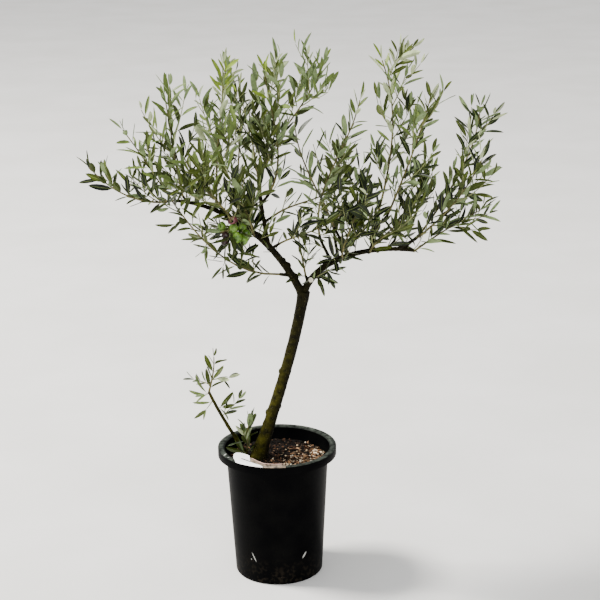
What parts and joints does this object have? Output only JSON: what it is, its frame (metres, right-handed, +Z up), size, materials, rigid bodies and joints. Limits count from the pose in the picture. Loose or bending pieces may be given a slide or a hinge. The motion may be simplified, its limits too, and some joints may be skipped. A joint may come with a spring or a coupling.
{
  "type": "potted olive tree",
  "caption": "Young olive tree with a leaning stem, a forked open crown and a bunch of green fruit, in a black plastic nursery pot.",
  "frame": {"origin": "centre of the pot's flat underside", "axes": "+Z up, +X towards the long right bough, -Y towards the side with the plant label"},
  "size_m": [0.8419, 0.4529, 1.1074],
  "materials": {
    "pot": "satin black, lightly scuffed",
    "soil": "coarse bark and pumice granules",
    "label": "plain white plastic",
    "bark": "smooth olive-brown bark",
    "foliage": "leathery leaves, green above and grey-green below"
  },
  "bodies": {
    "root": {"pot": "pot", "soil": "soil", "plant_label": "label", "trunk": "bark", "left_bough": "bark", "right_bough": "bark", "low_left_branch": "bark", "left_riser": "bark", "left_inner_spur": "bark", "left_outer_spur": "bark", "left_front_spur": "bark", "left_back_spur": "bark", "left_heart_spur": "bark", "left_middle_spur": "bark", "left_peak_spur": "bark", "inner_low_spur": "bark", "inner_spur": "bark", "fruit_spur": "bark", "fork_spur": "bark", "pruned_stub": "bark", "middle_riser": "bark", "whip_riser": "bark", "right_riser": "bark", "right_fork": "bark", "right_heart_spur": "bark", "right_inner_spur": "bark", "right_outer_spur": "bark", "right_side_spur": "bark", "right_front_spur": "bark", "right_back_spur": "bark", "sucker": "bark", "small_sucker": "bark", "foliage_far_left": "foliage", "foliage_low_left": "foliage", "foliage_left_outer": "foliage", "foliage_left_crest": "foliage", "foliage_left_front": "foliage", "foliage_left_back": "foliage", "foliage_left_heart": "foliage", "foliage_left_middle": "foliage", "foliage_left_top": "foliage", "foliage_left_peak": "foliage", "foliage_inner_low": "foliage", "foliage_inner": "foliage", "foliage_fruiting": "foliage", "foliage_fork": "foliage", "foliage_middle_crest": "foliage", "foliage_whip": "foliage", "foliage_right_leader": "foliage", "foliage_right_crest": "foliage", "foliage_right_heart": "foliage", "foliage_right_inner": "foliage", "foliage_right_outer": "foliage", "foliage_right_side": "foliage", "foliage_right_low": "foliage", "foliage_right_front": "foliage", "foliage_right_back": "foliage", "foliage_sucker_shoots": "foliage", "foliage_small_sucker_shoots": "foliage"}
  },
  "joints": []
}
